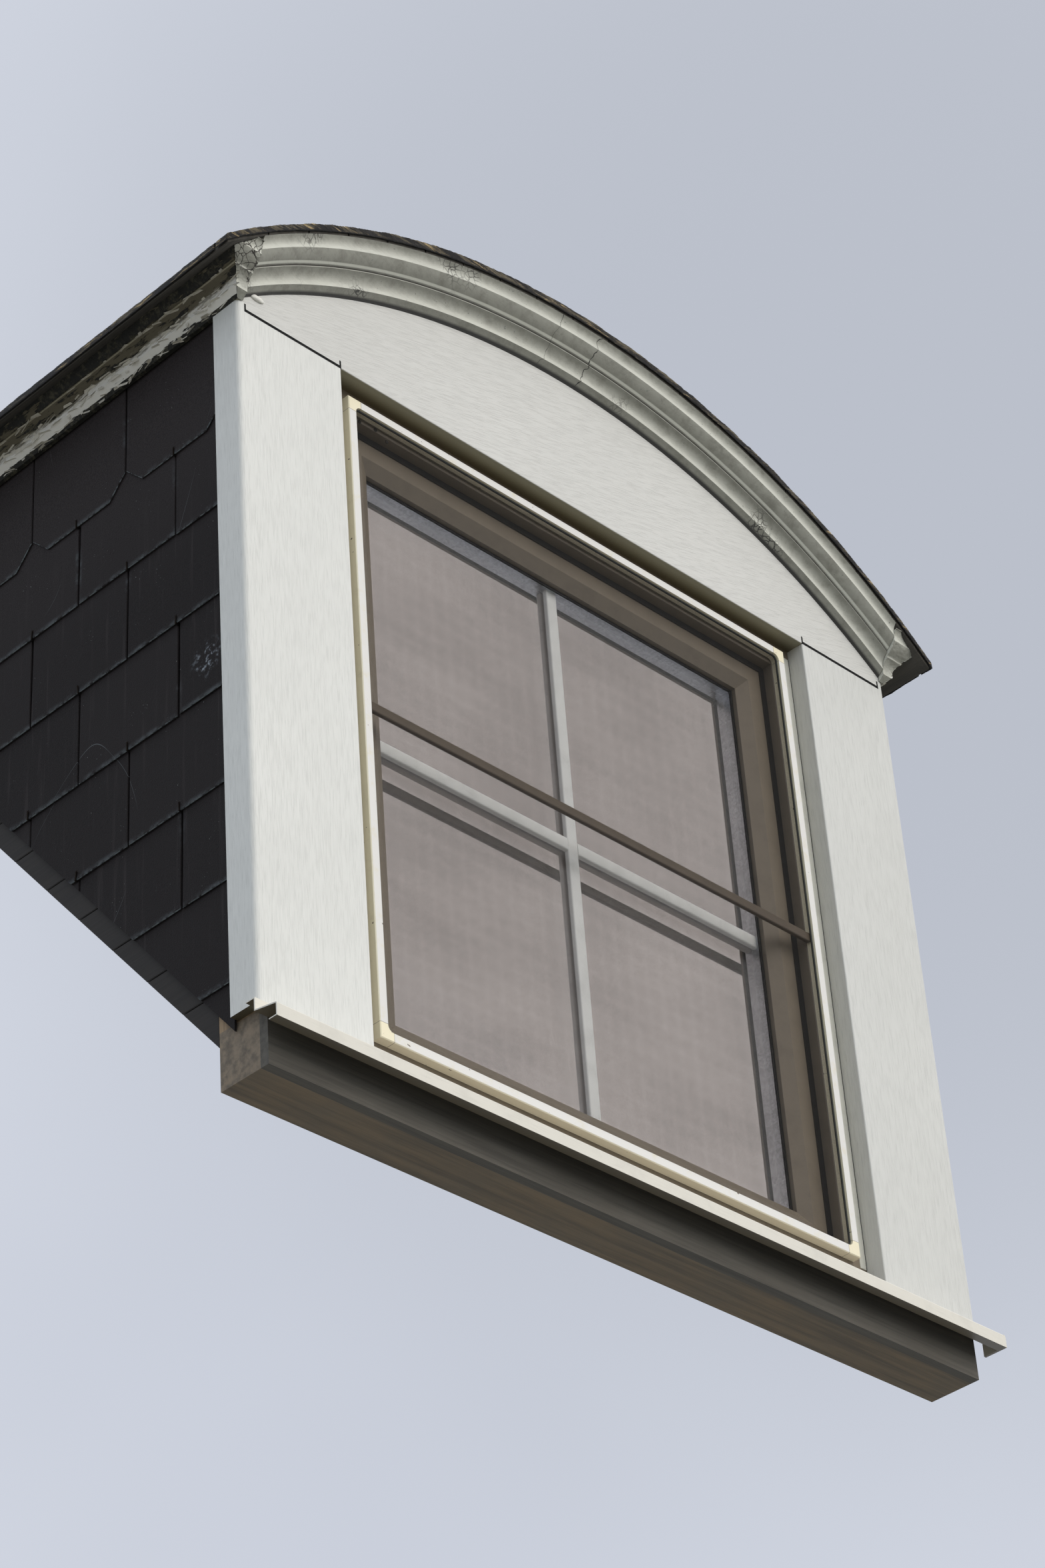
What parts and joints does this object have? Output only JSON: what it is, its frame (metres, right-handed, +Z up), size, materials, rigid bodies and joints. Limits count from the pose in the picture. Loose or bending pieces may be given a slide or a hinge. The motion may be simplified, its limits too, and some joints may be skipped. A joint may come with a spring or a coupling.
{
  "type": "arched dormer window",
  "caption": "Dormer window with slated cheeks, a barrel roof on an arched cornice with mitred returns, white casings and an insect screen.",
  "frame": {"origin": "middle of the underside of the front sill plate", "axes": "+Z up, +Y from the window back into the house, +X to the right seen from the front"},
  "size_m": [1.869, 1.7056, 1.94],
  "materials": {
    "timber": "sawn",
    "roof_board": "sawn boards",
    "lining_board": "matt paint",
    "slate": "fibre cement slates, matt",
    "white_casing": "foil with a fine grain",
    "white_paint": "old gloss paint",
    "bitumen": "weathered bitumen felt",
    "frame_plastic": "smooth",
    "gasket": "matt",
    "glass": "clear",
    "spacer": "satin",
    "screen_white": "powder coat",
    "screen_corner": "yellowed",
    "screen_mesh": "coated wire mesh",
    "sill_sheet": "powder coat"
  },
  "bodies": {
    "root": {"apron_board": "timber", "casing_left": "white_casing", "casing_right": "white_casing", "ceiling_lining": "lining_board", "cheek_boards_left": "roof_board", "cheek_boards_right": "roof_board", "cheek_lining_left": "lining_board", "cheek_lining_right": "lining_board", "cheek_rail_left": "timber", "cheek_rail_right": "timber", "cheek_slates_left": "slate", "cheek_slates_right": "slate", "cheek_studs_left": "timber", "cheek_studs_right": "timber", "corner_post_left": "timber", "corner_post_right": "timber", "cornice_block_left": "white_paint", "cornice_block_right": "white_paint", "cornice_front": "white_paint", "cornice_left": "white_paint", "cornice_right": "white_paint", "frame_gasket": "gasket", "glass_panes": "glass", "glazing_gasket": "gasket", "glazing_spacer": "spacer", "head_beam": "timber", "jamb_posts": "timber", "joint_strips": "gasket", "roof_covering": "bitumen", "roof_deck": "roof_board", "roof_formers": "roof_board", "screen_bars": "screen_white", "screen_corners": "screen_corner", "screen_mesh": "screen_mesh", "screen_mid_bar": "screen_white", "screen_spline": "gasket", "sill_end_cap": "white_casing", "sill_plate": "timber", "tympanum": "white_casing", "valley_board": "roof_board", "wall_plate_left": "timber", "wall_plate_right": "timber", "window_frame": "frame_plastic", "window_sash": "frame_plastic", "window_sill": "sill_sheet"}
  },
  "joints": []
}
